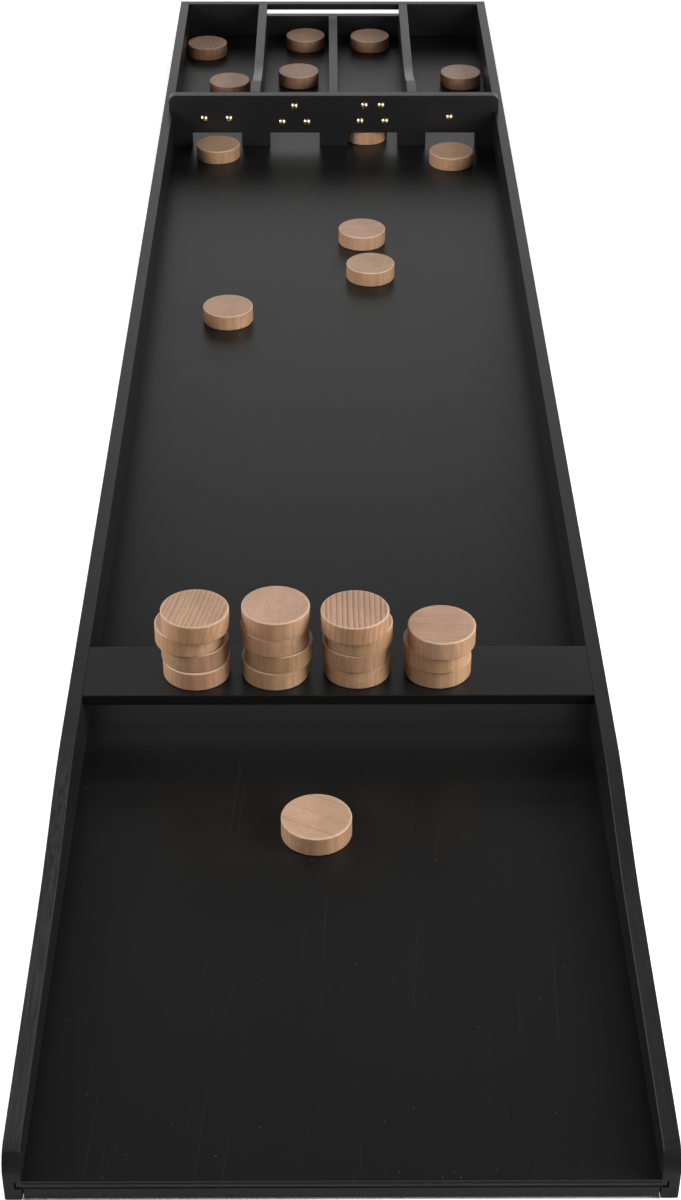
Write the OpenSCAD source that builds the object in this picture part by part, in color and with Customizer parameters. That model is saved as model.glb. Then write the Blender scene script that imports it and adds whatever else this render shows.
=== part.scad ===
// Dutch shuffleboard: a long tray on which wooden discs are slid through four low gates.
// All sizes are in millimetres. The origin is the middle of the footprint, on the surface that
// the board stands on. +Y runs from the player's end to the scoring end, and +Z is up.
// A distance called "from the front" is measured along the board from the player's end.

/* [Board] */
// Length of the board
board_l = 2000; // [1990:1:2200]
// Width over the outer faces of the two rails
board_w = 412; // [410:1:440]
// Thickness of the rails, the back wall and the dividers
stock_t = 11; // [9:0.5:12]
// Height of the back wall, and of the rails from the bridge to the back
rail_h = 61; // [58:1:66]
// Height of the rails at the front, where their round begins
rail_front_h = 37; // [32:0.5:42]
// Height of the rails at the foot of the slope up to their full height
rail_low_h = 44.5; // [40:0.5:50]
// Distance from the front at which that slope starts
slope_from_front = 213; // [180:1:240]
// Distance from the front at which the rails reach their full height
full_from_front = 378; // [350:1:400]
// Radius of the rails' upper front corners
rail_end_r = 15; // [8:1:20]
// Radius of the eased edges on the painted boards
edge_r = 1; // [0.5:0.1:1.5]

/* [Floor] */
// Height of the playing surface
floor_top = 16; // [14:0.5:18]
// Thickness of the floor panel
floor_t = 6; // [4:0.5:8]
// Depth of the groove that holds the floor panel
groove_d = 4.5; // [3:0.5:6]
// How far the panel's edge reaches into the groove
tongue_d = 3.5; // [2:0.5:4]
// Width of a cross batten under the floor
batten_w = 40; // [30:1:50]

/* [Bridge] */
// Distance of the bridge from the front
bridge_from_front = 432; // [414:1:454]
// Width of the bridge along the board
bridge_w = 64; // [60:1:70]
// Thickness of the bridge
bridge_t = 9; // [8:0.5:12]

/* [Gate] */
// Distance of the gate board's front face from the front
gate_from_front = 1606; // [1601:1:1610]
// Thickness of the gate board
gate_t = 12; // [10:0.5:14]
// Height of the gate board's upper edge
gate_top = 80.5; // [76:0.5:84]
// Radius of the gate board's upper corners
gate_corner_r = 8; // [4:1:12]
// Depth of the rails' slots for the gate board
gate_slot_d = 4; // [3:0.5:5]
// Distance between the middles of neighbouring gates
gate_pitch = 94.5; // [94:0.5:96]
// Width of a gate
gate_w = 60; // [56:1:62]
// Height of a gate
gate_h = 17.5; // [17:0.5:22]

/* [Dividers] */
// Height of the middle divider above the floor
low_divider_h = 28.5; // [24:0.5:28.5]
// Length of the outer dividers' flat part at the gate's height
shoulder_l = 37; // [20:1:50]
// Length of the hollow ramp from that height down to the rails' height
ramp_l = 111; // [80:1:130]
// Height of the slot in the back wall
slot_h = 8.5; // [6:0.5:8.5]
// Height of the slot's lower edge
slot_z = 44.5; // [43.5:0.5:45]

/* [Discs] */
// Diameter of a disc
disc_d = 52; // [50:0.5:52]
// Thickness of a disc
disc_t = 16; // [14:0.5:16]
// Radius of a disc's rounded rim
disc_edge_r = 1.2; // [0.8:0.1:1.5]
// Depth of the shallow dish in each face
dish_d = 0.5; // [0.2:0.1:0.6]

/* [Score tacks] */
// Diameter of a tack's domed head
tack_head_d = 9.5; // [8:0.5:10]
// Height of the dome
tack_head_h = 3.2; // [2:0.1:4]

/* [Hidden] */
BATTENS = 4;
FIELD_DISCS = 7;
STACK_SIZES = [4, 4, 4, 3];
BOX_SIZES = [2, 2, 1, 1];

PAINT = "#2b2b2b";
FLOOR_PAINT = "#232323";
BEECH = "#c49d7c";
BRASS = "#c9a44c";
STEEL = "#9a9a9a";

inner_w = board_w - 2 * stock_t;
front_y = -board_l / 2;
back_y = board_l / 2;
floor_bottom = floor_top - floor_t;
foot_clearance = 1;
front_recess = 0.5;
end_clearance = 0.8;
under_h = floor_bottom - foot_clearance;
crossbar_w = 16;
nose_r = floor_t / 2;
tongue_start = 1;
rail_foot_r = 1;
foot_edge_r = 2;
slope_steps = 32;
wall_front_y = back_y - stock_t;
gate_front_y = front_y + gate_from_front;
gate_back_y = gate_front_y + gate_t;
low_slope = (rail_low_h - rail_front_h) / (slope_from_front - rail_end_r);
ramp_drop = gate_top - rail_h;
ramp_r = (ramp_l * ramp_l + ramp_drop * ramp_drop) / (2 * ramp_drop);
bridge_mid_y = front_y + bridge_from_front + bridge_w / 2;
batten_from_front = [370, 790, 1210, gate_from_front + gate_t / 2];
gate_centres = [for (i = [0:3]) (i - 1.5) * gate_pitch];
divider_centres = [-gate_pitch, 0, gate_pitch];
slot_l = 2 * gate_pitch;

// Middles of the loose discs: sideways from the centre line, and from the front
field_places = [[-16.5, 324.5], [-111.5, 1145], [38.5, 1246.5], [30.5, 1335.5], [-139.5, 1576], [140.5, 1555], [39.5, 1634.5]];
box_places = [
    [[-133, 1785.5], [-168, 1922]],
    [[-45, 1818.5], [-37, 1951]],
    [[49.5, 1949]],
    [[165, 1814.5]]
];
stack_places = [
    [[-109, 463.5], [-110, 464.5], [-114, 462.5], [-108.5, 456.5]],
    [[-48.5, 463.5], [-45.5, 463], [-48.5, 462], [-47.5, 461]],
    [[14.5, 465.5], [13.5, 463.5], [15.5, 463], [12.5, 455]],
    [[76.5, 465.5], [75.5, 463], [78.5, 458]]
];

// Tacks over each gate: sideways from the gate's middle, and height above the board's foot
two_tacks = [[-15, 51.5], [15, 51.5]];
three_tacks = [[-15, 47], [15, 47], [0, 67]];
four_tacks = [[-15, 48], [15, 48], [-10, 68], [10, 68]];
one_tack = [[-1.5, 53]];
tack_shank_d = 1.8;
tack_shank_l = 9;

dowel_d = 5;
dowel_l = 24;
dowel_in_rail = 7;
wall_screw_heights = [22, 38];
thin_screw = [3, 11.5];
divider_screw = [3.5, 18];
wall_screw = [3.5, 30];
gate_screw = [4, 34];
divider_screws_from_front = [1690, 1800, 1930];

module along_x(length) {
    rotate([90, 0, 90])
        linear_extrude(length)
            children();
}

module along_y(length) {
    translate([0, length, 0])
        rotate([90, 0, 0])
            linear_extrude(length)
                children();
}

// The waste outside a quarter round in the corner at the origin
module corner_waste(r) {
    difference() {
        translate([-1, -1])
            square(r + 1);
        translate([r, r])
            circle(r, $fn = 96);
    }
}

// A plank's cross-section, standing on the X axis, with eased upper corners
module plank_section(w, h) {
    difference() {
        translate([-w / 2, 0])
            square([w, h]);
        for (side = [0, 1])
            mirror([side, 0])
                translate([-w / 2, h])
                    mirror([0, 1])
                        corner_waste(edge_r);
    }
}

// A countersunk screw pointing up, with the face of its head at z = 0
module screw_blank(size) {
    head_r = size[0];
    shank_r = size[0] / 2;
    tip_l = size[0];
    cylinder(h = shank_r, r1 = head_r, r2 = shank_r, $fn = 32);
    cylinder(h = size[1] - tip_l, r = shank_r, $fn = 32);
    translate([0, 0, size[1] - tip_l])
        cylinder(h = tip_l, r1 = shank_r, r2 = 0.3, $fn = 32);
}

module screw(size) {
    recess_w = size[0] / 4;
    recess_l = size[0] * 1.2;
    color(STEEL)
        difference() {
            screw_blank(size);
            for (turn = [0, 90])
                rotate([0, 0, turn])
                    translate([-recess_l / 2, -recess_w / 2, -1])
                        cube([recess_l, recess_w, 1.8]);
        }
}

// Height of the rails along the slope, as a share of its length from 0 to 1. It leaves the low part
// in line with it and runs level into the full height.
function slope_height(share) =
    let (
        rise = rail_h - rail_low_h,
        lead = low_slope * (full_from_front - slope_from_front)
    )
    rail_low_h + rise * share * share * (3 - 2 * share) + lead * share * (1 - share) * (1 - share);

// A rail from the side: low in front, so that the player's hand clears it, and rising to the bridge
module rail_side_view() {
    slope_points = [
        for (i = [slope_steps:-1:0])
            let (share = i / slope_steps)
                [slope_from_front + share * (full_from_front - slope_from_front), slope_height(share)]
    ];
    difference() {
        polygon(concat(
            [[0, 0], [board_l, 0], [board_l, rail_h]],
            slope_points,
            [[rail_end_r, rail_front_h], [0, rail_front_h]]
        ));
        translate([0, rail_front_h])
            mirror([0, 1])
                corner_waste(rail_end_r);
        corner_waste(rail_foot_r);
    }
}

// side is -1 for the left rail and 1 for the right one, seen from the player's end
module rail(side) {
    inner_x = side * inner_w / 2;
    color(PAINT)
        difference() {
            intersection() {
                translate([side * (board_w - stock_t) / 2, front_y, 0])
                    along_y(board_l)
                        plank_section(stock_t, rail_h);
                translate([side * (board_w - stock_t) / 2 - stock_t / 2, front_y, 0])
                    along_x(stock_t)
                        rail_side_view();
            }
            // Rounds along the lower edges
            for (edge = [0, 1])
                translate([side * (board_w - stock_t) / 2, front_y - 1, 0])
                    along_y(board_l + 2)
                        mirror([edge, 0])
                            translate([-stock_t / 2, 0])
                                corner_waste(foot_edge_r);
            // Groove for the floor panel, open at both ends
            translate([inner_x - groove_d, front_y - 1, floor_bottom])
                cube([2 * groove_d, board_l + 2, floor_t]);
            // Slot for the end of the gate board
            translate([inner_x - gate_slot_d, gate_front_y, floor_top])
                cube([2 * gate_slot_d, gate_t, rail_h]);
            bridge_dowel_blanks();
            wall_screw_blanks();
        }
}

module floor_panel() {
    nose_y = front_y + front_recess + nose_r;
    color(FLOOR_PAINT)
        difference() {
            union() {
                translate([-inner_w / 2, nose_y, floor_bottom])
                    cube([inner_w, wall_front_y - nose_y, floor_t]);
                translate([-inner_w / 2, nose_y, floor_bottom + nose_r])
                    rotate([0, 90, 0])
                        cylinder(h = inner_w, r = nose_r, $fn = 48);
                translate([-inner_w / 2 - tongue_d, front_y + tongue_start, floor_bottom])
                    cube([inner_w + 2 * tongue_d, board_l - stock_t - tongue_start, floor_t]);
                translate([-inner_w / 2, wall_front_y - 1, floor_bottom])
                    cube([inner_w, tongue_d + 1, floor_t]);
            }
            batten_screw_blanks();
            divider_screw_blanks();
            gate_screw_blanks();
        }
}

module front_crossbar() {
    color(PAINT)
        difference() {
            translate([end_clearance - inner_w / 2, front_y + front_recess + crossbar_w / 2, floor_bottom])
                mirror([0, 0, 1])
                    along_x(inner_w - 2 * end_clearance)
                        plank_section(crossbar_w, under_h);
            batten_screw_blanks();
        }
}

module cross_batten(i) {
    color(PAINT)
        difference() {
            translate([-inner_w / 2, front_y + batten_from_front[i - 1], floor_bottom])
                mirror([0, 0, 1])
                    along_x(inner_w)
                        plank_section(batten_w, under_h);
            batten_screw_blanks();
            gate_screw_blanks();
        }
}

module back_wall() {
    slot_r = slot_h / 2;
    color(PAINT)
        difference() {
            translate([-inner_w / 2, back_y - stock_t / 2, 0])
                along_x(inner_w)
                    plank_section(stock_t, rail_h);
            // Groove for the floor panel's rear edge
            translate([-inner_w, wall_front_y - 1, floor_bottom])
                cube([2 * inner_w, groove_d + 1, floor_t]);
            // Slot with round ends
            translate([-slot_l / 2 + slot_r, wall_front_y - 1, slot_z])
                cube([slot_l - slot_h, stock_t + 2, slot_h]);
            for (side = [-1, 1])
                translate([side * (slot_l / 2 - slot_r), back_y + 1, slot_z + slot_r])
                    rotate([90, 0, 0])
                        cylinder(h = stock_t + 2, r = slot_r, $fn = 48);
            wall_screw_blanks();
        }
}

module divider(x, section_h) {
    translate([x, gate_back_y, floor_top])
        along_y(wall_front_y - gate_back_y)
            plank_section(stock_t, section_h);
}

// An outer divider: level with the gate board in front, then a hollow ramp, then level with the rails
module tall_divider(x) {
    shoulder_end = gate_back_y + shoulder_l;
    ramp_end = shoulder_end + ramp_l;
    color(PAINT)
        difference() {
            union() {
                divider(x, rail_h - floor_top);
                intersection() {
                    divider(x, gate_top - floor_top);
                    translate([x - stock_t, gate_back_y, 0])
                        cube([2 * stock_t, ramp_end - gate_back_y, gate_top]);
                }
            }
            translate([x - stock_t, ramp_end, rail_h + ramp_r])
                rotate([0, 90, 0])
                    cylinder(h = 2 * stock_t, r = ramp_r, $fn = 720);
            divider_screw_blanks();
        }
}

module middle_divider() {
    color(PAINT)
        difference() {
            divider(0, low_divider_h);
            divider_screw_blanks();
        }
}

module gate_front_view() {
    difference() {
        translate([-inner_w / 2 - gate_slot_d, floor_top])
            square([inner_w + 2 * gate_slot_d, gate_top - floor_top]);
        for (side = [0, 1])
            mirror([side, 0])
                translate([-inner_w / 2 - gate_slot_d, gate_top])
                    mirror([0, 1])
                        corner_waste(gate_corner_r);
        for (x = gate_centres)
            translate([x - gate_w / 2, floor_top - 1])
                square([gate_w, gate_h + 1]);
    }
}

module gate_board() {
    color(PAINT)
        difference() {
            intersection() {
                translate([0, gate_front_y, 0])
                    along_y(gate_t)
                        gate_front_view();
                translate([-inner_w, gate_front_y + gate_t / 2, 0])
                    along_x(2 * inner_w)
                        plank_section(gate_t, gate_top);
            }
            tack_blanks(0, two_tacks);
            tack_blanks(1, three_tacks);
            tack_blanks(2, four_tacks);
            tack_blanks(3, one_tack);
            gate_screw_blanks();
        }
}

module bridge() {
    color(PAINT)
        difference() {
            translate([-inner_w / 2, bridge_mid_y, rail_h - bridge_t])
                intersection() {
                    along_x(inner_w)
                        plank_section(bridge_w, bridge_t);
                    translate([0, 0, bridge_t])
                        mirror([0, 0, 1])
                            along_x(inner_w)
                                plank_section(bridge_w, bridge_t);
                }
            bridge_dowel_blanks();
        }
}

module tack_blanks(gate, places) {
    dome_r = (tack_head_d * tack_head_d / 4 + tack_head_h * tack_head_h) / (2 * tack_head_h);
    for (p = places)
        translate([gate_centres[gate] + p[0], gate_front_y, p[1]])
            rotate([90, 0, 0]) {
                intersection() {
                    translate([0, 0, tack_head_h - dome_r])
                        sphere(dome_r, $fn = 64);
                    cylinder(h = 2 * tack_head_h, r = tack_head_d, $fn = 64);
                }
                translate([0, 0, -tack_shank_l])
                    cylinder(h = tack_shank_l + tack_head_h / 2, r = tack_shank_d / 2, $fn = 24);
            }
}

module tacks(gate, places) {
    color(BRASS)
        tack_blanks(gate, places);
}

module bridge_dowel_blanks() {
    for (side = [-1, 1], along = [-1, 1])
        translate([side * (inner_w / 2 + dowel_in_rail), bridge_mid_y + along * bridge_w / 4, 0])
            translate([0, 0, rail_h - bridge_t / 2])
                rotate([0, -side * 90, 0])
                    cylinder(h = dowel_l, r = dowel_d / 2, $fn = 48);
}

module bridge_dowels() {
    color(BEECH)
        bridge_dowel_blanks();
}

module at_wall_screws() {
    for (side = [-1, 1], z = wall_screw_heights)
        translate([side * board_w / 2, back_y - stock_t / 2, z])
            rotate([0, -side * 90, 0])
                children();
}

module wall_screw_blanks() {
    at_wall_screws()
        screw_blank(wall_screw);
}

module back_wall_screws() {
    at_wall_screws()
        screw(wall_screw);
}

module at_gate_screws() {
    for (x = divider_centres)
        translate([x, gate_front_y + gate_t / 2, foot_clearance])
            children();
}

module gate_screw_blanks() {
    at_gate_screws()
        screw_blank(gate_screw);
}

module gate_screws() {
    at_gate_screws()
        screw(gate_screw);
}

module at_divider_screws() {
    for (x = divider_centres, from_front = divider_screws_from_front)
        translate([x, front_y + from_front, floor_bottom])
            children();
}

module divider_screw_blanks() {
    at_divider_screws()
        screw_blank(divider_screw);
}

module divider_screws() {
    at_divider_screws()
        screw(divider_screw);
}

module at_batten_screws() {
    rows = [front_recess + crossbar_w / 2, for (i = [0:BATTENS - 2]) batten_from_front[i]];
    for (from_front = rows, x = [-150, 0, 150])
        translate([x, front_y + from_front, foot_clearance])
            children();
}

module batten_screw_blanks() {
    at_batten_screws()
        screw_blank(thin_screw);
}

module batten_screws() {
    at_batten_screws()
        screw(thin_screw);
}

// Half of a disc's cross-section: a rounded rim and a shallow dish in both faces
module disc_section() {
    r = disc_d / 2;
    flat_r = r - 2 * disc_edge_r;
    difference() {
        union() {
            square([r - disc_edge_r, disc_t]);
            translate([0, disc_edge_r])
                square([r, disc_t - 2 * disc_edge_r]);
            for (z = [disc_edge_r, disc_t - disc_edge_r])
                translate([r - disc_edge_r, z])
                    circle(disc_edge_r, $fn = 48);
        }
        polygon([[-1, -1], [0, -1], [0, dish_d], [-1, dish_d]]);
        polygon([[0, -1], [flat_r, -1], [flat_r, 0], [0, dish_d]]);
        polygon([[0, disc_t + 1], [flat_r, disc_t + 1], [flat_r, disc_t], [0, disc_t - dish_d]]);
    }
}

// place is sideways from the centre line and from the front, foot is the height of its lower face
module disc(place, foot) {
    color(BEECH)
        translate([place[0], front_y + place[1], foot])
            rotate_extrude($fn = 128)
                disc_section();
}

rail(-1);  // left_rail
rail(1);  // right_rail
floor_panel();
front_crossbar();
for (i = [1:BATTENS])
    cross_batten(i);
back_wall();
tall_divider(divider_centres[0]);  // left_divider
middle_divider();
tall_divider(divider_centres[2]);  // right_divider
gate_board();
bridge();
tacks(0, two_tacks);  // tacks_for_two
tacks(1, three_tacks);  // tacks_for_three
tacks(2, four_tacks);  // tacks_for_four
tacks(3, one_tack);  // tack_for_one
bridge_dowels();
back_wall_screws();
gate_screws();
divider_screws();
batten_screws();
for (i = [1:FIELD_DISCS])
    disc(field_places[i - 1], floor_top);
for (b = [1:4], i = [1:BOX_SIZES[b - 1]])
    disc(box_places[b - 1][i - 1], floor_top);
for (s = [1:4], i = [1:STACK_SIZES[s - 1]])
    disc(stack_places[s - 1][i - 1], rail_h + (i - 1) * disc_t);
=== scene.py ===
import math
import random

import bmesh
import bpy
from mathutils import Matrix, Vector


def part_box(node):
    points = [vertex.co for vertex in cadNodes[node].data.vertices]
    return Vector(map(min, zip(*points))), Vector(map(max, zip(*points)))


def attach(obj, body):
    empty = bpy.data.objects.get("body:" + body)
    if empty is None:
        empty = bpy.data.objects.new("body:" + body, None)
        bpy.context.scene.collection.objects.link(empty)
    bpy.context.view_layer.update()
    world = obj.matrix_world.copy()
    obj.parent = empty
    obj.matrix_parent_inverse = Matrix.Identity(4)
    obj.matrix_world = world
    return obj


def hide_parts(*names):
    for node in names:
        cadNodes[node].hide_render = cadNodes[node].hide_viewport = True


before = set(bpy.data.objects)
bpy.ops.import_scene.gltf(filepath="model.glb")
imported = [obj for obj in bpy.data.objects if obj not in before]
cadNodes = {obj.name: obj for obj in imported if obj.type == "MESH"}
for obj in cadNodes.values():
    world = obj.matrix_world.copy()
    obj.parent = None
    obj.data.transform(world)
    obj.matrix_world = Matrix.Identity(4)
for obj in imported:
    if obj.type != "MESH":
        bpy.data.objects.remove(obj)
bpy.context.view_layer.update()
mm = 0.001
print("frame loaded:", len(cadNodes), "nodes")


def boxInMm(node):
    low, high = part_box(node)
    return low / mm, high / mm


# The camera comes first: where the photographer stood, in mm and degrees
camera = {
    "place": (-7.8, -1884.6, 1051.2),
    "pitch": -34.42,
    "yaw": 0.399,
    "roll": 0.134,
    "focalPixels": 2162.4,
    "longSidePixels": 1200,
}


def makeCamera():
    lens = bpy.data.cameras.new("photoCamera")
    lens.sensor_width = 36.0
    lens.lens = camera["focalPixels"] / camera["longSidePixels"] * lens.sensor_width
    lens.clip_end = 50.0
    body = bpy.data.objects.new("photoCamera", lens)
    turn = Matrix.Rotation(math.radians(-camera["yaw"]), 4, "Z")
    tilt = Matrix.Rotation(math.radians(90 + camera["pitch"]), 4, "X")
    roll = Matrix.Rotation(math.radians(camera["roll"]), 4, "Z")
    body.matrix_world = Matrix.Translation(Vector(camera["place"]) * mm) @ turn @ tilt @ roll
    bpy.context.scene.collection.objects.link(body)
    bpy.context.scene.camera = body


makeCamera()
print("camera set")


# Small helpers for nodes and colours
def linearColour(hexCode):
    def channel(start):
        value = int(hexCode[start:start + 2], 16) / 255
        return value / 12.92 if value <= 0.04045 else ((value + 0.055) / 1.055) ** 2.4
    return (channel(1), channel(3), channel(5), 1.0)


def put(tree, kind, inputs=None, **settings):
    node = tree.nodes.new(kind)
    for key, value in settings.items():
        setattr(node, key, value)
    connect(tree, node, inputs or {})
    return node


def connect(tree, node, inputs):
    for key, value in inputs.items():
        if isinstance(value, bpy.types.NodeSocket):
            tree.links.new(value, node.inputs[key])
        else:
            node.inputs[key].default_value = value


def newMaterial(name):
    material = bpy.data.materials.new(name)
    material.use_nodes = True
    material.node_tree.nodes.clear()
    shader = put(material.node_tree, "ShaderNodeBsdfPrincipled")
    put(material.node_tree, "ShaderNodeOutputMaterial", {"Surface": shader.outputs[0]})
    return material, material.node_tree, shader


def maths(tree, operation, *values):
    return put(tree, "ShaderNodeMath", dict(enumerate(values)), operation=operation).outputs[0]


def vectorMaths(tree, operation, *values):
    return put(tree, "ShaderNodeVectorMath", dict(enumerate(values)), operation=operation)


def parts(tree, vector):
    return put(tree, "ShaderNodeSeparateXYZ", {0: vector}).outputs


def remap(tree, value, fromStart, fromEnd, toStart=0.0, toEnd=1.0):
    return put(tree, "ShaderNodeMapRange", {
        0: value, 1: fromStart, 2: fromEnd, 3: toStart, 4: toEnd,
    }).outputs[0]


def noise(tree, place, detail=2.0, roughness=0.5, scale=1.0):
    return put(tree, "ShaderNodeTexNoise", {
        "Vector": place, "Scale": scale, "Detail": detail, "Roughness": roughness,
    }).outputs[0]


def stretched(tree, place, sizes):
    # A pattern of one unit comes out in these sizes
    return vectorMaths(tree, "MULTIPLY", place, [1 / size for size in sizes]).outputs[0]


def mixed(tree, factor, first, second, blend="MIX"):
    return put(tree, "ShaderNodeMix", {0: factor, 6: first, 7: second}, data_type="RGBA",
               blend_type=blend).outputs[2]


# Sprayed paint on planed wood: a satin black skin that sinks a little into the grain under it. Sizes are
# in mm; the peel is the fine orange-peel relief that a spray gun leaves.
railPaint = {
    "deep": "#141414", "pale": "#171718", "roughness": 0.40, "roughSpread": 0.06, "specular": 0.40,
    "fibreWidth": 1.3, "fibreLength": 90.0, "cloudSize": 70.0, "grainDepth": 0.015,
    "peelSize": 1.6, "peelShare": 0.25,
}
# Hands rub the rails' low front part: it is paler on top, above all on the left. Along the inner top edge it
# is paler too, partly from wear and partly as a painted highlight.
rubbedAndHighlitPaint = dict(railPaint, paleRubAndHighlight="#4a4a49", paleEnd=-640.0, paleFade=30.0, rubbedLeft=0.48,
                   rubbedRight=0.10, edgeHighlightAndRub=0.5, innerEdge=195.0, edgeWidth=1.1, edgeCore=0.5)
# The ends of the rails soak up more paint and stay dull
endPaint = dict(railPaint, specular=0.20, roughness=0.5)
# The same paint on the gate board and dividers, sprayed before assembly and a little shinier
gatePaint = dict(railPaint, specular=0.50, fibreLength=60.0)
# The same paint brushed on under the board
brushedPaint = dict(railPaint, specular=0.26, roughness=0.5)
# Lacquer on sanded plywood, rubbed smooth by the discs: darker and glossier than the rails. It has a few
# specks of dust, and hairline scratches roughly along the discs' way.
trackPaint = {
    "deep": "#111111", "pale": "#141414", "roughness": 0.33, "roughSpread": 0.03, "specular": 0.28,
    "fibreWidth": 1.6, "fibreLength": 160.0, "cloudSize": 110.0, "grainDepth": 0.006,
    "peelSize": 2.2, "peelShare": 0.25,
    "dust": "#8a8a86", "dustGap": 9.0, "dustSize": 0.45, "dustShare": 0.5,
    "scratchWidth": 1.4, "scratchLength": 180.0, "scratchSkew": 3.0, "scratchShare": 0.03,
}
# The bridge has the same lacquer but isn't rubbed
bridgePaint = dict(trackPaint, specular=0.42, dustGap=14.0)


def rubbedAndHighlitColour(tree, look, place, fibre, colour):
    across, lengthways, _ = parts(tree, place)
    up = parts(tree, put(tree, "ShaderNodeTexCoord").outputs["Normal"])[2]
    end, fade = look["paleEnd"] * mm, look["paleFade"] * mm
    lowPart = remap(tree, lengthways, end + fade, end - fade)
    onRight = maths(tree, "GREATER_THAN", across, 0.0)
    wear = maths(tree, "MULTIPLY_ADD", onRight, look["rubbedRight"] - look["rubbedLeft"], look["rubbedLeft"])
    inPatches = maths(tree, "MULTIPLY", remap(tree, fibre, 0.3, 0.7), wear)
    top = maths(tree, "MULTIPLY", remap(tree, up, 0.84, 0.96), inPatches)
    # The pale line along the inner top edge is partly wear and partly a painted highlight
    fromEdge = maths(tree, "SUBTRACT", maths(tree, "ABSOLUTE", across), look["innerEdge"] * mm)
    nearEdge = remap(tree, fromEdge, look["edgeWidth"] * mm, look["edgeCore"] * mm)
    upward = maths(tree, "MULTIPLY", remap(tree, up, 0.2, 0.5), look["edgeHighlightAndRub"])
    edge = maths(tree, "MULTIPLY", upward, nearEdge)
    share = maths(tree, "MULTIPLY", lowPart, maths(tree, "MAXIMUM", top, edge))
    return mixed(tree, share, colour, linearColour(look["paleRubAndHighlight"]))


def dustedColour(tree, look, place, colour):
    gap, size = look["dustGap"], look["dustSize"]
    cells = put(tree, "ShaderNodeTexVoronoi", {"Vector": place, "Scale": 1 / (gap * mm)})
    speck = remap(tree, cells.outputs["Distance"], size / gap, size / gap / 2, 0.0, look["dustShare"])
    skewed = put(tree, "ShaderNodeVectorRotate", {
        "Vector": place, "Angle": math.radians(look["scratchSkew"]),
    }, rotation_type="Z_AXIS").outputs[0]
    sizes = (look["scratchWidth"] * mm, look["scratchLength"] * mm, 1.0)
    lines = noise(tree, stretched(tree, skewed, sizes), detail=1.0)
    scratch = remap(tree, lines, 0.70, 0.76, 0.0, look["scratchShare"])
    return mixed(tree, maths(tree, "MAXIMUM", speck, scratch), colour, linearColour(look["dust"]))


def satinPaint(name, look, along):
    material, tree, shader = newMaterial(name)
    place = put(tree, "ShaderNodeTexCoord").outputs["Object"]

    def spread(width, length):
        sizes = [width * mm] * 3
        sizes["XYZ".index(along)] = length * mm
        return stretched(tree, place, sizes)

    fibre = noise(tree, spread(look["fibreWidth"], look["fibreLength"]), detail=4.0, roughness=0.6)
    cloud = noise(tree, spread(look["cloudSize"], look["cloudSize"] * 2), detail=3.0)
    peel = noise(tree, spread(look["peelSize"], look["peelSize"]), detail=1.0)
    both = maths(tree, "ADD", fibre, cloud)
    tone = remap(tree, both, 0.65, 1.35)
    colour = mixed(tree, tone, linearColour(look["deep"]), linearColour(look["pale"]))
    if "paleRubAndHighlight" in look:
        colour = rubbedAndHighlitColour(tree, look, place, fibre, colour)
    if "dust" in look:
        colour = dustedColour(tree, look, place, colour)
    middle, half = look["roughness"], look["roughSpread"] / 2
    rough = remap(tree, both, 0.6, 1.4, middle - half, middle + half)
    relief = maths(tree, "MULTIPLY_ADD", peel, look["peelShare"], fibre)
    bump = put(tree, "ShaderNodeBump", {
        "Height": relief, "Distance": look["grainDepth"] * mm, "Strength": 1.0,
    }).outputs[0]
    connect(tree, shader, {"Base Color": colour, "Roughness": rough, "Normal": bump, "IOR": 1.5,
                           "Specular IOR Level": look["specular"]})
    return material


# Turned and waxed beech: pinkish tan, thin darker latewood lines, short ray flecks, brown end grain.
# Sizes are in mm. Round the rim the wood is painted paler, as a painted highlight.
beech = {
    "tan": "#bb9b7a", "pink": "#be9984", "late": "#85604a", "endGrain": "#8a5528", "wallTint": "#fff8ea",
    "roughness": 0.46, "fibreWidth": 0.7, "fibreLength": 16.0, "reliefDepth": 0.03,
    "fleckWidth": 0.5, "fleckLength": 3.0, "fleckShare": 0.34, "blotchWidth": 15.0, "blotchLength": 26.0,
    "sway": 4.0, "swaySize": 42.0, "swayLength": 160.0, "ringUnevenness": 0.7, "unevenPerMm": 0.11,
    "lateWidth": 1.15, "endGrainShare": 0.28, "streaksRound": 150, "streaksDown": 1.5,
    "paleRubAndHighlight": "#f3dcc6", "rimHighlightShare": 0.33,
}


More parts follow.
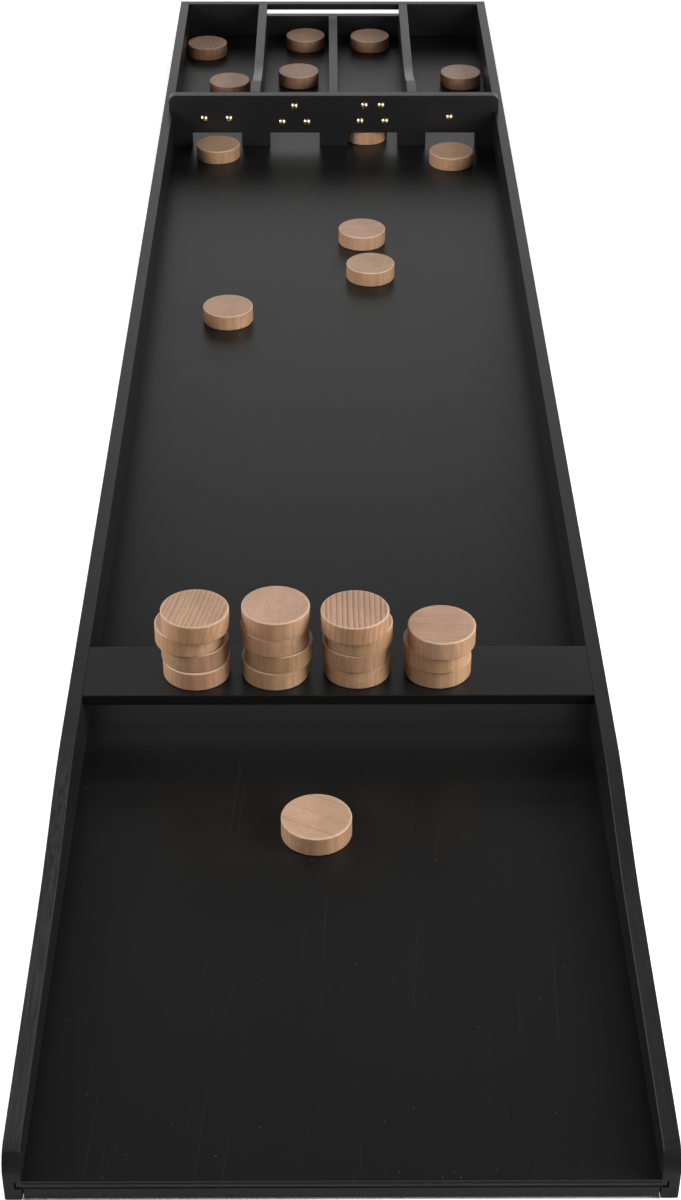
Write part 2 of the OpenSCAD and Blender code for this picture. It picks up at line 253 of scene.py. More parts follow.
def waxedBeech():
    material, tree, shader = newMaterial("waxedBeech")

    def attribute(name, output="Vector"):
        return put(tree, "ShaderNodeAttribute", attribute_name=name).outputs[output]

    grain = attribute("grain")
    ringGap, ringDepth, pinkness = parts(tree, attribute("look"))
    endGrain, paintedLightSide, wall = parts(tree, attribute("turning"))
    roundAndDown = put(tree, "ShaderNodeUVMap", uv_map="UVMap").outputs[0]

    def spread(width, length):
        return stretched(tree, grain, (width, length, width))

    # Year rings stand round the log's heart, which is the grain frame's Y axis
    beside = vectorMaths(tree, "MULTIPLY", grain, (1, 0, 1)).outputs[0]
    fromHeart = vectorMaths(tree, "LENGTH", beside).outputs["Value"]
    sway = noise(tree, spread(beech["swaySize"], beech["swayLength"]))
    swayed = maths(tree, "MULTIPLY_ADD", maths(tree, "SUBTRACT", sway, 0.5), beech["sway"], fromHeart)
    uneven = put(tree, "ShaderNodeTexNoise", {
        "W": maths(tree, "MULTIPLY", swayed, beech["unevenPerMm"]), "Scale": 1.0,
    }, noise_dimensions="1D").outputs[0]
    evenRings = maths(tree, "DIVIDE", swayed, ringGap)
    rings = maths(tree, "MULTIPLY_ADD", uneven, beech["ringUnevenness"], evenRings)
    phase = maths(tree, "FRACT", rings)
    year = put(tree, "ShaderNodeTexWhiteNoise", {"W": maths(tree, "FLOOR", rings)}, noise_dimensions="1D")
    # Latewood darkens over about a millimetre and ends sharply where the next spring starts
    beforeSpring = maths(tree, "MULTIPLY", maths(tree, "SUBTRACT", phase, 1), ringGap)
    latewood = maths(tree, "EXPONENT", maths(tree, "DIVIDE", beforeSpring, beech["lateWidth"]))
    onWall = maths(tree, "MULTIPLY_ADD", wall, -0.5, 1)
    ringTone = maths(tree, "MULTIPLY", latewood, maths(tree, "MULTIPLY", ringDepth, onWall))
    ringTone = maths(tree, "MULTIPLY", ringTone, maths(tree, "MULTIPLY_ADD", year.outputs[0], 0.5, 0.6))

    fibre = noise(tree, spread(beech["fibreWidth"], beech["fibreLength"]), detail=3.0)
    flecks = noise(tree, spread(beech["fleckWidth"], beech["fleckLength"]), detail=1.0)
    fleck = remap(tree, flecks, 0.54, 0.70)
    blotch = noise(tree, spread(beech["blotchWidth"], beech["blotchLength"]))
    # Upright streaks that the cutter leaves round the wall of a disc
    aroundWall = (beech["streaksRound"], beech["streaksDown"], 0)
    streak = noise(tree, vectorMaths(tree, "MULTIPLY", roundAndDown, aroundWall).outputs[0], detail=3.0)

    late = linearColour(beech["late"])
    colour = mixed(tree, pinkness, linearColour(beech["tan"]), linearColour(beech["pink"]))
    colour = mixed(tree, 1.0, colour, remap(tree, blotch, 0.3, 0.7, 0.93, 1.07), "MULTIPLY")
    colour = mixed(tree, ringTone, colour, late)
    colour = mixed(tree, maths(tree, "MULTIPLY", fleck, beech["fleckShare"]), colour, late)
    colour = mixed(tree, 1.0, colour, remap(tree, fibre, 0.3, 0.7, 0.92, 1.06), "MULTIPLY")
    endShare = maths(tree, "MULTIPLY", endGrain, beech["endGrainShare"])
    face = mixed(tree, endShare, colour, linearColour(beech["endGrain"]))
    streaky = mixed(tree, 1.0, face, remap(tree, streak, 0.35, 0.65, 0.82, 1.12), "MULTIPLY")
    side = mixed(tree, 1.0, streaky, linearColour(beech["wallTint"]), "MULTIPLY")
    # Halfway from the face to the wall is the middle of the rim, where the paler painted highlight is
    # strongest
    rimHighlight = maths(tree, "MULTIPLY", maths(tree, "MULTIPLY", wall, maths(tree, "SUBTRACT", 1, wall)),
                  4 * beech["rimHighlightShare"])
    wood = mixed(tree, rimHighlight, mixed(tree, wall, face, side), linearColour(beech["paleRubAndHighlight"]))
    # Painted light and shade on the dished face: paler on one side, darker on the other
    paintedSideLight = remap(tree, paintedLightSide, 0.0, 1.0, 0.93, 1.05)
    wood = mixed(tree, 1.0, wood, maths(tree, "MULTIPLY", paintedSideLight, attribute("shade", "Fac")), "MULTIPLY")

    fibreRough = maths(tree, "MULTIPLY_ADD", fibre, 0.12, beech["roughness"] - 0.06)
    rough = maths(tree, "MULTIPLY_ADD", endGrain, 0.10, fibreRough)
    relief = maths(tree, "ADD", maths(tree, "MULTIPLY", fibre, 0.8), maths(tree, "MULTIPLY", ringTone, -0.5))
    bump = put(tree, "ShaderNodeBump", {"Height": relief, "Distance": beech["reliefDepth"] * mm}).outputs[0]
    connect(tree, shader, {"Base Color": wood, "Roughness": rough, "Normal": bump, "IOR": 1.48})
    return material


# Pressed and polished brass: a warm yellow metal with a slight brown bloom
brass = {
    "low": "#e2d2a4", "high": "#94804f", "tones": (0.45, 0.75), "share": 0.6, "patternPerMetre": 420.0,
    "detail": 3.0, "roughTones": (0.3, 0.8), "roughness": (0.22, 0.36),
}
# Zinc-plated steel: a grey metal with a fine matt grain
zinc = {
    "low": "#8b8e91", "high": "#b4b6b8", "tones": (0.0, 1.0), "share": 1.0, "patternPerMetre": 900.0,
    "detail": 2.0, "roughTones": (0.3, 0.7), "roughness": (0.30, 0.46),
}


def metal(name, look):
    material, tree, shader = newMaterial(name)
    place = put(tree, "ShaderNodeTexCoord").outputs["Object"]
    pattern = noise(tree, place, detail=look["detail"], scale=look["patternPerMetre"])
    share = remap(tree, pattern, *look["tones"], 0.0, look["share"])
    connect(tree, shader, {
        "Base Color": mixed(tree, share, linearColour(look["low"]), linearColour(look["high"])),
        "Roughness": remap(tree, pattern, *look["roughTones"], *look["roughness"]),
        "Metallic": 1.0,
    })
    return material


railFinish = satinPaint("railPaintLengthways", rubbedAndHighlitPaint, "Y")
endFinish = satinPaint("railPaintOnEndGrain", endPaint, "Z")
paintCrossways = satinPaint("railPaintCrossways", railPaint, "X")
gateLengthways = satinPaint("gatePaintLengthways", gatePaint, "Y")
gateCrossways = satinPaint("gatePaintCrossways", gatePaint, "X")
brushedCrossways = satinPaint("brushedPaintCrossways", brushedPaint, "X")
trackLacquer = satinPaint("trackLacquerLengthways", trackPaint, "Y")
bridgeLacquer = satinPaint("bridgeLacquerCrossways", bridgePaint, "X")
beechWood = waxedBeech()
brassMetal = metal("polishedBrass", brass)
steelMetal = metal("platedSteel", zinc)
print("materials made")


# Making pieces
def addObject(name, mesh):
    piece = bpy.data.objects.new(name, mesh)
    bpy.context.scene.collection.objects.link(piece)
    return piece


def evaluatedMesh(piece):
    bpy.context.view_layer.update()
    return bpy.data.meshes.new_from_object(piece.evaluated_get(bpy.context.evaluated_depsgraph_get()))


def discard(pieces):
    for piece in pieces:
        mesh = piece.data
        bpy.data.objects.remove(piece)
        bpy.data.meshes.remove(mesh)


def dress(piece, body, slot, material, *nodes):
    if material:
        piece.data.materials.clear()
        piece.data.materials.append(material)
    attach(piece, body)
    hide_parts(*nodes)
    return piece


def arc(centre, radius, start, end, steps):
    angles = [math.radians(start + (end - start) * i / steps) for i in range(steps + 1)]
    return [(centre[0] + radius * math.cos(a), centre[1] + radius * math.sin(a)) for a in angles]


def rectangle(left, bottom, right, top):
    return [(left, bottom), (right, bottom), (right, top), (left, top)]


def solid(name, outline, axis, near, far):
    # The outline lies square to the axis: its two numbers are the other two axes, in X, Y, Z order
    def point(pair, distance):
        place = list(pair)
        place.insert("XYZ".index(axis), distance)
        return Vector(place) * mm
    shape = bmesh.new()
    nearRing = [shape.verts.new(point(pair, near)) for pair in outline]
    farRing = [shape.verts.new(point(pair, far)) for pair in outline]
    shape.faces.new(nearRing)
    shape.faces.new(farRing)
    for i in range(len(outline)):
        shape.faces.new((nearRing[i - 1], nearRing[i], farRing[i], farRing[i - 1]))
    bmesh.ops.recalc_face_normals(shape, faces=shape.faces)
    for face in shape.faces:
        face.smooth = True
    mesh = bpy.data.meshes.new(name)
    shape.to_mesh(mesh)
    shape.free()
    return addObject(name, mesh)


def eased(rough, name, ease, cutters=()):
    # Cuts the blank, rounds its edges by that many mm, and leaves a plain mesh
    for cutter in cutters:
        cut = rough.modifiers.new("cut", "BOOLEAN")
        cut.operation, cut.solver, cut.object = "DIFFERENCE", "EXACT", cutter
    bevel = rough.modifiers.new("ease", "BEVEL")
    bevel.width, bevel.segments = ease * mm, 3
    bevel.limit_method, bevel.angle_limit = "ANGLE", math.radians(30)
    rough.modifiers.new("even", "WEIGHTED_NORMAL")
    mesh = evaluatedMesh(rough)
    mesh.name = name
    discard([rough, *cutters])
    return addObject(name, mesh)


boards = {
    "ease": 0.6,
    # The rails are low in front of the bridge: from the front up to lowEnd almost level, then a soft rise
    "frontHeight": 37.0, "frontRadius": 15.0, "footRadius": 1.0, "roundSteps": 18,
    "lowHeight": 44.5, "lowEnd": 213.0, "fullStart": 378.0, "riseSteps": 32, "longFootRadius": 2.0,
    "grooveDepth": 4.5, "slotDepth": 4.0, "clearance": 0.02,
    "gateCorner": 8.0, "gateWidth": 60.0, "gateHeight": 17.5, "gatePitch": 94.5,
    "rampStart": 37.0, "rampLength": 111.0, "rampSteps": 28,
    "slotHeight": 8.5, "slotBottom": 44.5,
    "screwHead": 3.9, "screwHeights": (22.0, 38.0),
}

floorLow, floorHigh = boxInMm("floor_panel")
gateLow, gateHigh = boxInMm("gate_board")
wallLow, wallHigh = boxInMm("back_wall")


def riseHeight(share, fullHeight):
    # Leaves the low part in line with it, and runs level into the full height
    slope = (boards["lowHeight"] - boards["frontHeight"]) / (boards["lowEnd"] - boards["frontRadius"])
    lead = slope * (boards["fullStart"] - boards["lowEnd"])
    rise = (fullHeight - boards["lowHeight"]) * share ** 2 * (3 - 2 * share)
    return boards["lowHeight"] + rise + lead * share * (1 - share) ** 2


def makeRail(node, side):
    low, high = boxInMm(node)
    r, foot, steps = boards["frontRadius"], boards["footRadius"], boards["riseSteps"]
    length = boards["fullStart"] - boards["lowEnd"]
    shares = [i / steps for i in range(steps, -1, -1)]
    outline = [
        (high.y, low.z), (high.y, high.z),
        *[(low.y + boards["lowEnd"] + share * length, riseHeight(share, high.z)) for share in shares],
        *arc((low.y + r, boards["frontHeight"] - r), r, 90, 180, boards["roundSteps"]),
        *arc((low.y + foot, low.z + foot), foot, 180, 270, 4),
    ]
    inner, gap = (high.x if side < 0 else low.x), boards["clearance"]

    def cutter(name, depth, y0, y1, z0, z1):
        edge = inner + side * depth
        sheet = rectangle(min(edge, inner - side * 5), z0, max(edge, inner - side * 5), z1)
        return solid(name, sheet, "Y", y0, y1)

    groove = cutter("groove", boards["grooveDepth"], low.y - 5, high.y + 5,
                    floorLow.z - gap, floorHigh.z + gap)
    slot = cutter("slot", boards["slotDepth"] + gap, gateLow.y - gap, gateHigh.y + gap,
                  floorHigh.z - 1, high.z + 5)
    outer = low.x if side < 0 else high.x
    soft, feet = boards["longFootRadius"], []
    for edge, out in ((low.x, -1), (high.x, 1)):
        quarter = arc((edge - out * soft, low.z + soft), soft, 270, 270 + 90 * out, 6)
        waste = [(edge + out, low.z + soft), (edge + out, low.z - 1), (edge - out * soft, low.z - 1)]
        feet.append(solid("foot", quarter + waste, "Y", low.y - 5, high.y + 5))
    sinks = []
    for z in boards["screwHeights"]:
        ring = arc((wallLow.y + 5.5, z), boards["screwHead"], 0, 345, 23)
        sinks.append(solid("sink", ring, "X", min(outer, outer - side * 2.2) - 0.5 * (side < 0),
                           max(outer, outer - side * 2.2) + 0.5 * (side > 0)))
    rail = eased(solid("blank", outline, "X", low.x, high.x), node + "_painted", boards["ease"],
                 [groove, slot, *feet, *sinks])
    dress(rail, "board", "black_paint", railFinish, node)
    rail.data.materials.append(endFinish)
    for face in rail.data.polygons:
        face.material_index = int(face.normal.y < -0.5 and face.center.y < (low.y + r) * mm)
    return rail


def makeBackWall():
    gap, ends = boards["clearance"], boards["gatePitch"]
    z0, z1 = boards["slotBottom"], boards["slotBottom"] + boards["slotHeight"]
    middle, r = (z0 + z1) / 2, (z1 - z0) / 2
    ring = arc((ends - r, middle), r, -90, 90, 14) + arc((r - ends, middle), r, 90, 270, 14)
    slot = solid("slot", ring, "Y", wallLow.y - 5, wallHigh.y + 5)
    groove = solid("groove", rectangle(wallLow.y - 5, floorLow.z - gap, wallLow.y + boards["grooveDepth"],
                                       floorHigh.z + gap), "X", wallLow.x - 5, wallHigh.x + 5)
    sheet = rectangle(wallLow.x, wallLow.z, wallHigh.x, wallHigh.z)
    blank = solid("blank", sheet, "Y", wallLow.y, wallHigh.y)
    wall = eased(blank, "back_wall_painted", boards["ease"], [slot, groove])
    return dress(wall, "board", "black_paint", paintCrossways, "back_wall")


def makeTallDivider(node):
    low, high = boxInMm(node)
    wallTop = wallHigh.z
    drop = high.z - wallTop
    r = (boards["rampLength"] ** 2 + drop ** 2) / (2 * drop)
    rampTop, rampFoot = low.y + boards["rampStart"], low.y + boards["rampStart"] + boards["rampLength"]
    steepest = math.degrees(math.asin(boards["rampLength"] / r))
    outline = [
        (low.y, low.z), (high.y, low.z), (high.y, wallTop),
        *arc((rampFoot, wallTop + r), r, 270, 270 - steepest, boards["rampSteps"]),
        (low.y, high.z),
    ]
    assert abs(rampTop - outline[-2][0]) < 1e-3
    divider = eased(solid("blank", outline, "X", low.x, high.x), node + "_painted", boards["ease"])
    return dress(divider, "board", "black_paint", gateLengthways, node)


def makeMiddleDivider():
    low, high = boxInMm("middle_divider")
    blank = solid("blank", rectangle(low.y, low.z, high.y, high.z), "X", low.x, high.x)
    divider = eased(blank, "middle_divider_painted", boards["ease"])
    return dress(divider, "board", "black_paint", gateLengthways, "middle_divider")


def makeGateBoard():
    r, steps = boards["gateCorner"], 12
    top, bottom = gateHigh.z, gateLow.z
    outline = [
        *arc((gateLow.x + r, top - r), r, 180, 90, steps),
        *arc((gateHigh.x - r, top - r), r, 90, 0, steps),
        (gateHigh.x, bottom),
    ]
    half, head = boards["gateWidth"] / 2, bottom + boards["gateHeight"]
    for i in (1.5, 0.5, -0.5, -1.5):
        middle = i * boards["gatePitch"]
        left, right = middle - half, middle + half
        outline += [(right, bottom), (right, head), (left, head), (left, bottom)]
    outline.append((gateLow.x, bottom))
    gate = eased(solid("blank", outline, "Y", gateLow.y, gateHigh.y), "gate_board_painted", boards["ease"])
    return dress(gate, "board", "black_paint", gateCrossways, "gate_board")


def makeBridge():
    low, high = boxInMm("bridge")
    blank = solid("blank", rectangle(low.y, low.z, high.y, high.z), "X", low.x, high.x)
    bridge = eased(blank, "bridge_painted", boards["ease"])
    return dress(bridge, "board", "black_paint", bridgeLacquer, "bridge")


makeRail("left_rail", -1)
makeRail("right_rail", 1)
makeBackWall()
makeTallDivider("left_divider")
makeTallDivider("right_divider")
makeMiddleDivider()
makeGateBoard()
makeBridge()
print("boards made")


# One Geometry Nodes tree turns a half section on a lathe and sets the result down at each place
def latheTree():
    tree = bpy.data.node_groups.new("turnedOnALathe", "GeometryNodeTree")
    tree.interface.new_socket(name="Turned", in_out="OUTPUT", socket_type="NodeSocketGeometry")
    for label, kind in (("Half Section", "Geometry"), ("Places", "Object"), ("Facing", "Vector"),
                        ("Rim Radius", "Float"), ("Rim Steps", "Int"), ("Steps Round", "Int"),
                        ("Finish", "Material")):
        tree.interface.new_socket(name=label, in_out="INPUT", socket_type="NodeSocket" + kind)
    given = put(tree, "NodeGroupInput").outputs

    line = put(tree, "GeometryNodeMeshToCurve", {"Mesh": given["Half Section"]}).outputs[0]
    corner = put(tree, "GeometryNodeInputNamedAttribute", {"Name": "corner"}, data_type="FLOAT").outputs[0]
    rounding = maths(tree, "MULTIPLY", corner, given["Rim Radius"])
    section = put(tree, "GeometryNodeFilletCurve", {
        "Curve": line, "Count": given["Rim Steps"], "Radius": rounding,
    }, mode="POLY").outputs[0]
    points = put(tree, "GeometryNodeAttributeDomainSize", {"Geometry": section}, component="CURVE")
    pointCount = points.outputs["Point Count"]
    grid = put(tree, "GeometryNodeMeshGrid", {
        "Size X": 1.0, "Size Y": 1.0, "Vertices X": pointCount,
        "Vertices Y": maths(tree, "ADD", given["Steps Round"], 1),
    }).outputs[0]
    here = put(tree, "GeometryNodeInputPosition").outputs[0]
    gridPlace = parts(tree, here)
    down, roundShare = maths(tree, "ADD", gridPlace[0], 0.5), maths(tree, "ADD", gridPlace[1], 0.5)
    unrolled = put(tree, "GeometryNodeStoreNamedAttribute", {
        "Geometry": grid, "Name": "UVMap",
        "Value": put(tree, "ShaderNodeCombineXYZ", {0: roundShare, 1: down}).outputs[0],
    }, data_type="FLOAT2", domain="CORNER").outputs[0]
    index = maths(tree, "ROUND", maths(tree, "MULTIPLY", down, maths(tree, "SUBTRACT", pointCount, 1)))
    onSection = put(tree, "GeometryNodeSampleIndex", {
        "Geometry": section, "Value": here, "Index": index,
    }, data_type="FLOAT_VECTOR", domain="POINT").outputs[0]
    reach = parts(tree, onSection)
    angle = maths(tree, "MULTIPLY", roundShare, 2 * math.pi)
    spun = put(tree, "ShaderNodeCombineXYZ", {
        0: maths(tree, "MULTIPLY", reach[0], maths(tree, "COSINE", angle)),
        1: maths(tree, "MULTIPLY", reach[0], maths(tree, "SINE", angle)),
        2: reach[2],
    }).outputs[0]
    skin = put(tree, "GeometryNodeSetPosition", {"Geometry": unrolled, "Position": spun}).outputs[0]
    closed = put(tree, "GeometryNodeMergeByDistance", {"Geometry": skin, "Distance": 0.002 * mm}).outputs[0]
    spots = put(tree, "GeometryNodeMeshToPoints", {
        "Mesh": put(tree, "GeometryNodeObjectInfo", {"Object": given["Places"]}).outputs["Geometry"],
    }).outputs[0]
    facing = put(tree, "FunctionNodeAlignRotationToVector", {"Vector": given["Facing"]}, axis="Z")
    copies = put(tree, "GeometryNodeInstanceOnPoints", {
        "Points": spots, "Instance": closed, "Rotation": facing.outputs[0],
    }).outputs[0]
    real = put(tree, "GeometryNodeRealizeInstances", {"Geometry": copies}).outputs[0]
    finished = put(tree, "GeometryNodeSetMaterial", {"Geometry": real, "Material": given["Finish"]})
    put(tree, "NodeGroupOutput", {"Turned": finished.outputs[0]})
    return tree


lathe = latheTree()


def turned(name, section, places, facing, finish, rimRadius, rimSteps, stepsRound):
    # section: (radius, height, 1 where the corner is rounded) in mm, from pole to pole
    half = bpy.data.meshes.new("halfSection")
    steps = [(i, i + 1) for i in range(len(section) - 1)]
    half.from_pydata([(r * mm, 0, z * mm) for r, z, _ in section], steps, [])
    corners = half.attributes.new("corner", "FLOAT", "POINT")
    corners.data.foreach_set("value", [float(c) for _, _, c in section])
    spots = bpy.data.meshes.new("places")
    spots.from_pydata([Vector(place) * mm for place in places], [], [])
    blank, marks = addObject("blank", half), addObject("places", spots)
    modifier = blank.modifiers.new("lathe", "NODES")
    modifier.node_group = lathe
    settings = {"Places": marks, "Facing": facing, "Rim Radius": rimRadius * mm, "Rim Steps": rimSteps,
                "Steps Round": stepsRound, "Finish": finish}
    for item in lathe.interface.items_tree:
        if item.in_out == "INPUT" and item.name in settings:
            modifier[item.identifier] = settings[item.name]
    mesh = evaluatedMesh(blank)
    mesh.name = name
    discard([blank, marks])
    shape = bmesh.new()
    shape.from_mesh(mesh)
    bmesh.ops.recalc_face_normals(shape, faces=shape.faces)
    for face in shape.faces:
        face.smooth = True
    shape.to_mesh(mesh)
    shape.free()
    return addObject(name, mesh)


discs = {
    "rimRadius": 1.2, "dishDepth": 0.5, "dishRadius": 23.4, "rimSteps": 6, "stepsRound": 96,
    # The last two numbers: up to what height, and how much, painted shade darkens a stacked disc's lower edge
    "support": 0.25, "dishRings": (6.0, 12.0, 18.0, 22.4), "dustyEdge": 0.7, "dustyShade": 0.7,
    # turn: how the grain lies, in degrees from across the board; heart: where the middle of the log is,
    # beside and below the disc; gap and depth: of the year rings; light: the side toward which the dished
    # face gets painted light, paler there and darker opposite; shade: how dark the whole disc is. What is
    # left out here is drawn by chance.
    "plain": {"light": 185, "shade": 1.0},
    "field_disc_1": {"turn": -29, "heart": (115.5, 3), "gap": 16, "depth": 0.6, "pink": 0.5, "light": 190,
                     "shift": 40},
    "field_disc_2": {"turn": 38, "heart": (120, 12), "gap": 2.4, "depth": 0.40, "pink": 0.6, "light": 175},
    "field_disc_3": {"turn": 42, "heart": (100, 10), "gap": 2.2, "depth": 0.40, "pink": 0.4, "light": 200},
    "field_disc_4": {"turn": 12, "heart": (20, 90), "gap": 3.4, "depth": 0.20, "pink": 0.8, "light": 215},
    "field_disc_5": {"turn": -35, "heart": (70, 20), "gap": 3.4, "depth": 0.6, "pink": 0.5,
                     "light": 200, "shade": 0.96},
    "field_disc_6": {"turn": 8, "heart": (60, 20), "gap": 3.2, "depth": 0.50, "pink": 0.5, "light": 190},
    "box_1_disc_1": {"shade": 1.14, "depth": 0.3, "pink": 0.9},
    "box_1_disc_2": {"turn": 86, "heart": (140, 10), "gap": 3.0, "depth": 1.5, "pink": 0.9,
                     "light": 190, "shade": 1.02},
    "box_2_disc_1": {"turn": 70, "heart": (60, 20), "gap": 2.8, "depth": 0.45, "pink": 0.9, "light": 180},
    "box_2_disc_2": {"turn": 20, "heart": (70, 20), "gap": 3.0, "depth": 0.5, "pink": 0.7,
                     "light": 200, "shade": 0.88},
    "box_3_disc_1": {"turn": 60, "heart": (80, 20), "gap": 3.0, "depth": 0.5, "pink": 0.6,
                     "light": 190, "shade": 0.85},
    "box_4_disc_1": {"turn": 15, "heart": (60, 30), "gap": 3.0, "depth": 0.3, "pink": 0.9,
                     "light": 190, "shade": 1.14},
    "stack_1_disc_4": {"turn": 78, "heart": (110, 10), "gap": 3.6, "depth": 0.95, "pink": 0.4, "light": 215},
    "stack_1_disc_3": {"pink": 0.45, "shade": 1.04}, "stack_1_disc_2": {"pink": 0.75, "shade": 0.90},
    "stack_1_disc_1": {"pink": 0.8, "shade": 1.03},
    "stack_2_disc_4": {"turn": 72, "heart": (90, 15), "gap": 3.0, "depth": 0.25, "pink": 0.85, "light": 180},
    "stack_2_disc_3": {"pink": 0.7}, "stack_2_disc_2": {"pink": 0.15},
    "stack_2_disc_1": {"pink": 0.3, "shade": 1.04},
    "stack_3_disc_4": {"turn": 91, "heart": (95, 4), "gap": 4.0, "depth": 1.5, "pink": 0.8, "light": 230},
    "stack_3_disc_3": {"pink": 0.2}, "stack_3_disc_2": {"pink": 0.85, "shade": 0.93},
    "stack_3_disc_1": {"pink": 0.2, "shade": 1.06},
    "stack_4_disc_3": {"turn": -4, "heart": (150, 8), "gap": 3.0, "depth": 0.7, "pink": 0.7, "light": 185},
    "stack_4_disc_2": {"pink": 0.4, "shade": 1.05}, "stack_4_disc_1": {"pink": 0.3, "shade": 0.96},
}


def discSection(radius, thickness):
    rim, near = discs["rimRadius"], discs["rimRadius"] + discs["support"]
    flat, depth = discs["dishRadius"], discs["dishDepth"]
    face = [(r, depth * (1 - r / flat), 0) for r in (0.0, *discs["dishRings"])]
    face += [(flat, 0.0, 0), (radius - near, 0.0, 0), (radius, 0.0, 1), (radius, near, 0)]
    return face + [(r, thickness - z, c) for r, z, c in reversed(face)]


def markGrain(disc, middle, radius, thickness, look):
    # Tells the wood's pattern how this disc was cut from the log and turned, and which side of its dished
    # face gets painted light
    turn, facing = math.radians(look["turn"]), math.radians(look["light"])
    grainAlong = Vector((math.cos(turn), math.sin(turn), 0))
    grainAcross = Vector((-math.sin(turn), math.cos(turn), 0))
    grain, kinds, turning = [], [], []
    for vertex in disc.data.vertices:
        place = vertex.co / mm - middle
        reach = math.hypot(place.x, place.y)
        grain += [place.dot(grainAcross) + look["heart"][0], place.dot(grainAlong) + look["shift"],
                  place.z + look["heart"][1]]
        kinds += [look["gap"], look["depth"], look["pink"]]
        outward = Vector((place.x, place.y, 0)) / max(reach, 1e-6)
        wall = min(1.0, max(0.0, (reach - radius + discs["rimRadius"]) / discs["rimRadius"]))
        # Painted light: the dished face is paler toward the given side and darker on the opposite side
        pale = 0.5 + 0.5 * math.tanh(2.2 * outward.dot(Vector((math.cos(facing), math.sin(facing), 0))))
        inDish = 1.0 if 0.5 < reach < discs["dishRadius"] else 0.0
        side = 0.4 + (pale - 0.5) * 0.8 if inDish else 0.85
        turning += [wall * outward.dot(grainAlong) ** 2, side, wall]
    for name, values in (("grain", grain), ("look", kinds), ("turning", turning)):
        disc.data.attributes.new(name, "FLOAT_VECTOR", "POINT").data.foreach_set("vector", values)
    # In a stack, painted shade darkens the lower edge, where one disc rests on the next
    paintedGapShade = discs["dustyShade"] if disc.name.startswith("stack") else 1.0
    heights = [vertex.co.z / mm - middle.z for vertex in disc.data.vertices]
    shades = [look["shade"] * (paintedGapShade if height < discs["dustyEdge"] else 1.0) for height in heights]
    disc.data.attributes.new("shade", "FLOAT", "POINT").data.foreach_set("value", shades)


chance = random.Random(52)


def makeDisc(node):
    low, high = boxInMm(node)
    radius, thickness = (high.x - low.x) / 2, high.z - low.z
    middle = Vector(((low.x + high.x) / 2, (low.y + high.y) / 2, low.z))
    piece = turned(node + "_turned", discSection(radius, thickness), [middle], (0, 0, 1), beechWood,
                   discs["rimRadius"], discs["rimSteps"], discs["stepsRound"])
    look = dict(discs["plain"])
    look.update(turn=chance.uniform(-90, 90), gap=chance.uniform(2.2, 4.2), depth=chance.uniform(0.2, 0.5),
                pink=chance.uniform(0.1, 0.9), heart=(chance.uniform(60, 180), chance.uniform(0, 25)))
    look["shift"] = chance.uniform(0, 900)
    look.update(discs.get(node, {}))
    markGrain(piece, middle, radius, thickness, look)
    return dress(piece, node, "beech", None, node)


discNodes = [node for node in cadNodes if "disc_" in node]
for node in sorted(discNodes):
    makeDisc(node)
print("discs turned:", len(discNodes))


# Round-headed tacks over the gates: sideways from each gate's middle, and height
tacks = {
    "headRadius": 4.75, "headHeight": 3.2, "flange": 0.35, "shankRadius": 0.9, "shankLength": 9.0,
    "pointLength": 1.5,
    "domeSteps": 12, "stepsRound": 40,
    "places": {
        "tacks_for_two": (-1.5, [(-15, 51.5), (15, 51.5)]),
        "tacks_for_three": (-0.5, [(-15, 47), (15, 47), (0, 67)]),
        "tacks_for_four": (0.5, [(-15, 48), (15, 48), (-10, 68), (10, 68)]),
        "tack_for_one": (1.5, [(-1.5, 53)]),
    },
}


def makeTacks(node, gate, offsets):
    head, height = tacks["headRadius"], tacks["headHeight"] - tacks["flange"]
    domeRadius = (head ** 2 + height ** 2) / (2 * height)
    opening = math.degrees(math.asin(head / domeRadius))
    dome = arc((0, tacks["headHeight"] - domeRadius), domeRadius, 90, 90 - opening, tacks["domeSteps"])
    shank = tacks["shankRadius"]
    section = [(r, z, 0) for r, z in dome]
    tip = -tacks["shankLength"]
    section += [(head, 0.0, 0), (shank, 0.0, 0), (shank, tip + tacks["pointLength"], 0), (0, tip, 0)]
    section[0] = (0.0, tacks["headHeight"], 0)
    places = [(gate * boards["gatePitch"] + x, gateLow.y, z) for x, z in offsets]
    piece = turned(node + "_pressed", section, places, (0, -1, 0), brassMetal, 0.0, 1, tacks["stepsRound"])
    bevelled = piece.modifiers.new("even", "WEIGHTED_NORMAL")
    bevelled.weight = 50
    mesh = evaluatedMesh(piece)
    discard([piece])
    return dress(addObject(node + "_pressed", mesh), "board", "brass", None, node)


for node, (gate, offsets) in tacks["places"].items():
    makeTacks(node, gate, offsets)
print("tacks set")


# CAD pieces whose shape is right get their real finish
finishes = {
    "floor_panel": trackLacquer, "front_crossbar": brushedCrossways,
    "cross_batten_1": brushedCrossways, "cross_batten_2": brushedCrossways,
    "cross_batten_3": brushedCrossways, "cross_batten_4": brushedCrossways,
    "bridge_dowels": beechWood, "back_wall_screws": steelMetal, "gate_screws": steelMetal,
    "divider_screws": steelMetal, "batten_screws": steelMetal,
}
for node, finish in finishes.items():
    for materialSlot in cadNodes[node].material_slots:
        materialSlot.material = finish
print("finishes set")


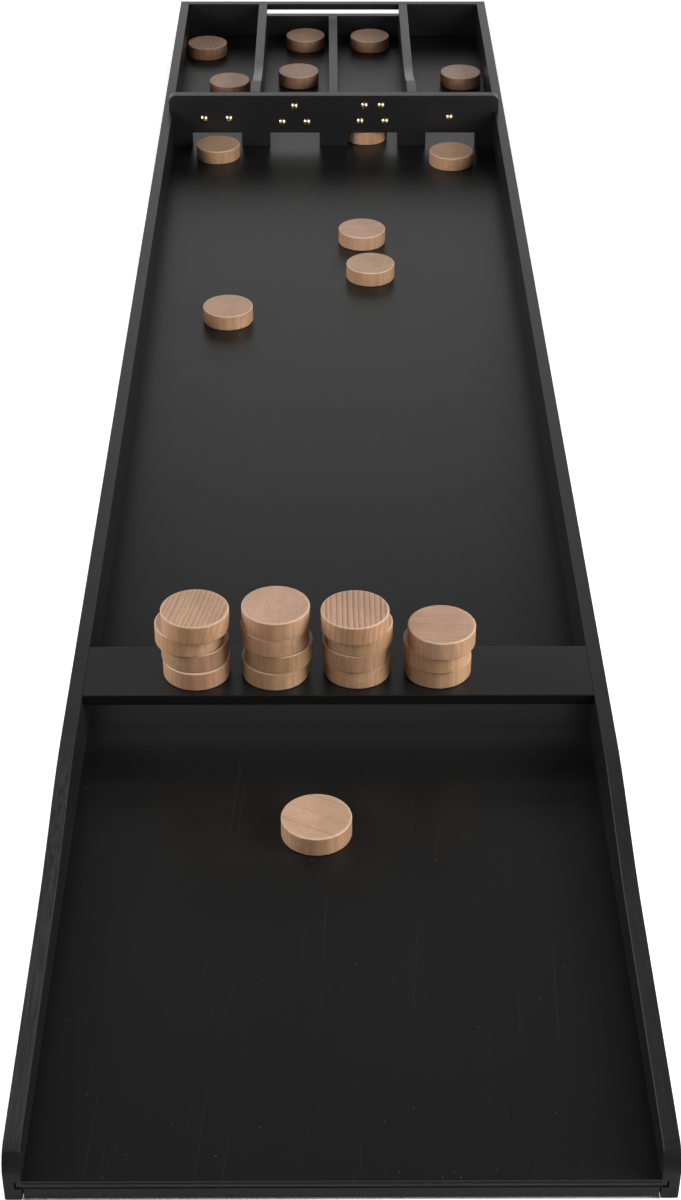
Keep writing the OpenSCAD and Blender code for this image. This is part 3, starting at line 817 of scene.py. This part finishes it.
# A plain pale floor and soft studio light
studio = {
    "floorSize": 60.0, "floorColour": "#f2f2f0", "floorPattern": 3.0, "sky": 0.02,
    # In metres: the floor glows for the camera alone, up to full white some way out
    "floorGlow": 0.62, "glowRise": (1.7, 3.0),
    # Reflections see a white sweep that starts behind the board
    "sweepGlow": 0.9, "sweepRise": (1.0, 1.3),
    "softboxes": {
        "rightKey": {"place": (1.7, -1.0, 1.05), "aim": (0, -0.2, 0.3), "size": (0.8, 1.5), "radiance": 14.0},
        "leftKey": {"place": (-1.7, -1.0, 1.15), "aim": (0, -0.2, 0.3), "size": (0.8, 1.1), "radiance": 7.3},
        "leftSide": {"place": (-2.0, -0.1, 0.9), "aim": (0, 0, 0), "size": (0.9, 0.9), "radiance": 8.8},
        "rightFront": {"place": (2.1, -1.9, 1.2), "aim": (0, 0.6, 0), "size": (1.0, 1.0), "radiance": 3.7},
        "behindCamera": {"place": (0, -3.4, 1.9), "aim": (0, 0, 0), "size": (2.5, 1.6), "radiance": 0.66},
        "backPanel": {"place": (0, 3.4, 1.27), "aim": (0, 0, 1.27), "size": (4.4, 2.45), "radiance": 0.88},
        "backLow": {"place": (0, 3.3, 0.26), "aim": (0, 0, 0.26), "size": (4.4, 0.42), "radiance": 1.1},
        "backCeiling": {"place": (0, 2.05, 2.9), "aim": (0, 2.05, 0), "size": (4.0, 1.9), "radiance": 0.30},
    },
}


def makeStudio():
    material = bpy.data.materials.new("paleFloor")
    material.use_nodes = True
    tree = material.node_tree
    tree.nodes.clear()
    place = put(tree, "ShaderNodeTexCoord").outputs["Object"]
    rough = remap(tree, noise(tree, place, scale=studio["floorPattern"]), 0.3, 0.7, 0.75, 0.9)
    shader = put(tree, "ShaderNodeBsdfPrincipled", {
        "Base Color": linearColour(studio["floorColour"]), "Roughness": rough,
    })
    distance = vectorMaths(tree, "LENGTH", place).outputs["Value"]
    level = remap(tree, distance, *studio["glowRise"], studio["floorGlow"], 1.0)
    # Under the board the floor stays dark, so nothing pale shows through its joints
    halfBoard = (abs(wallLow.x) * mm, wallHigh.y * mm, 1.0)
    beside = vectorMaths(tree, "SUBTRACT", vectorMaths(tree, "ABSOLUTE", place).outputs[0], halfBoard)
    past = parts(tree, beside.outputs[0])
    outside = maths(tree, "GREATER_THAN", maths(tree, "MAXIMUM", past[0], past[1]), 0.0)
    light = put(tree, "ShaderNodeLightPath").outputs
    seen = maths(tree, "MULTIPLY", light["Is Camera Ray"], outside)
    behind = remap(tree, parts(tree, place)[1], *studio["sweepRise"], 0.0, studio["sweepGlow"])
    mirrored = maths(tree, "MULTIPLY", light["Is Glossy Ray"], behind)
    glow = put(tree, "ShaderNodeEmission", {
        "Color": (1, 1, 1, 1), "Strength": maths(tree, "MULTIPLY_ADD", seen, level, mirrored),
    })
    both = put(tree, "ShaderNodeAddShader", {0: shader.outputs[0], 1: glow.outputs[0]})
    put(tree, "ShaderNodeOutputMaterial", {"Surface": both.outputs[0]})
    half = studio["floorSize"] / 2
    mesh = bpy.data.meshes.new("paleFloor")
    corners = [(x, y, 0) for x, y in rectangle(-half, -half, half, half)]
    mesh.from_pydata(corners, [], [(0, 1, 2, 3)])
    mesh.materials.append(material)
    addObject("paleFloor", mesh)

    world = bpy.data.worlds.new("studio")
    world.use_nodes = True
    sky = world.node_tree
    sky.nodes.clear()
    straight = put(sky, "ShaderNodeLightPath").outputs["Is Camera Ray"]
    strength = remap(sky, straight, 0.0, 1.0, studio["sky"], 1.0)
    air = put(sky, "ShaderNodeBackground", {"Color": (1, 1, 1, 1), "Strength": strength})
    put(sky, "ShaderNodeOutputWorld", {"Surface": air.outputs[0]})
    bpy.context.scene.world = world

    for name, box in studio["softboxes"].items():
        light = bpy.data.lights.new(name, "AREA")
        light.shape = "RECTANGLE"
        light.size, light.size_y = box["size"]
        light.energy = box["radiance"] * math.pi * light.size * light.size_y
        lamp = bpy.data.objects.new(name, light)
        aim = Vector(box["aim"]) - Vector(box["place"])
        turn = aim.to_track_quat("-Z", "Y").to_matrix().to_4x4()
        lamp.matrix_world = Matrix.Translation(box["place"]) @ turn
        lamp.visible_camera = False
        bpy.context.scene.collection.objects.link(lamp)


makeStudio()
bpy.context.scene.view_settings.view_transform = "Standard"
print("studio lit")
